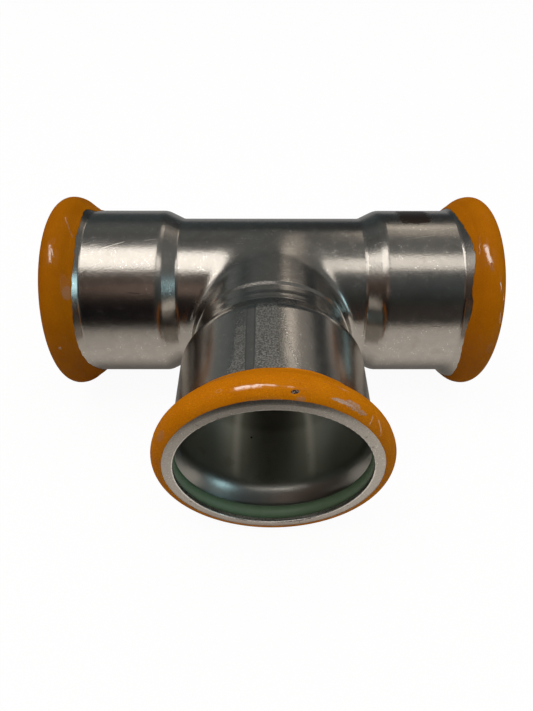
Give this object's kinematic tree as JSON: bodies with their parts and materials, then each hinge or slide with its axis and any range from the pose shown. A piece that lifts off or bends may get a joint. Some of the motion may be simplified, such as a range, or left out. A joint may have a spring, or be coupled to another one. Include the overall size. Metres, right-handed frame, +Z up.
{
  "type": "press fit pipe tee",
  "caption": "Equal tee of formed steel for press-fitted pipe: a straight run and a square branch, each end a beaded socket with a seal ring inside and a coloured film over the bead.",
  "frame": {"origin": "the point where the run's axis and the branch's axis cross", "axes": "+X along the run to its right end, -Y along the branch to its mouth, +Z up with the tee lying flat on its beads"},
  "size_m": [0.147, 0.1114, 0.0672],
  "materials": {
    "zinc_plated_steel": "satin zinc plating with fine scratches",
    "green_rubber": "smooth moulded rubber",
    "orange_film": "thin glossy film, wrinkled in places"
  },
  "bodies": {
    "root": {"tee_body": "zinc_plated_steel", "seal_ring_left": "green_rubber", "seal_ring_right": "green_rubber", "seal_ring_branch": "green_rubber", "film_ring_left": "orange_film", "film_ring_right": "orange_film", "film_ring_branch": "orange_film"}
  },
  "joints": []
}
